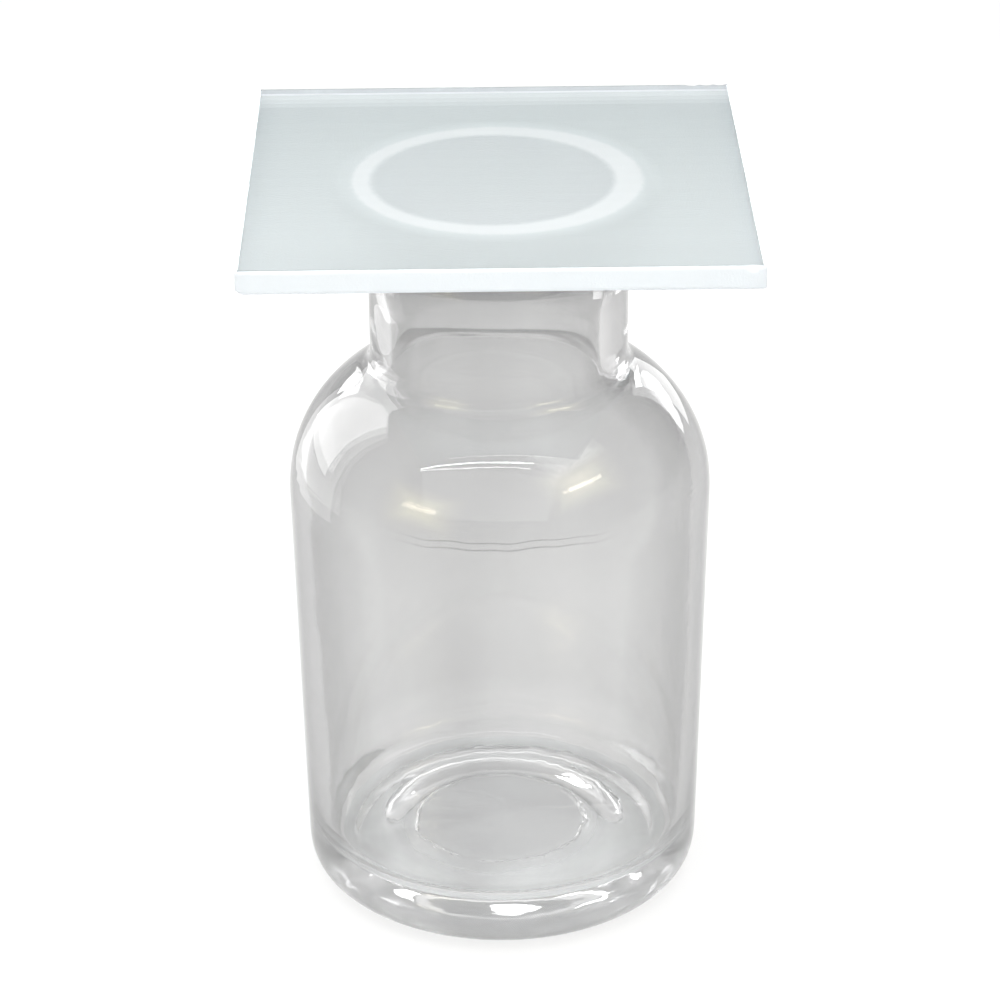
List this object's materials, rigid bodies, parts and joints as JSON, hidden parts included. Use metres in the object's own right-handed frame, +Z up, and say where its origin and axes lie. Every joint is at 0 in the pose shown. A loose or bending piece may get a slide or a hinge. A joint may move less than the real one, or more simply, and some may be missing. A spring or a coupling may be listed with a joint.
{
  "type": "gas jar",
  "caption": "Round glass jar with a sloping shoulder and a ground lip, closed by a square ground-glass cover plate, for collecting gas over water.",
  "frame": {"origin": "middle of the base, on the surface that the jar stands on", "axes": "+Z up along the jar's axis, out through the mouth and the cover plate; X and Y along the sides of the square plate"},
  "size_m": [0.08, 0.08, 0.1263],
  "materials": {
    "jar_glass": "clear, fire-polished",
    "ground_plate": "clear on top, ground matt on the underside"
  },
  "bodies": {
    "root": {"jar": "jar_glass", "cover_plate": "ground_plate"}
  },
  "joints": []
}
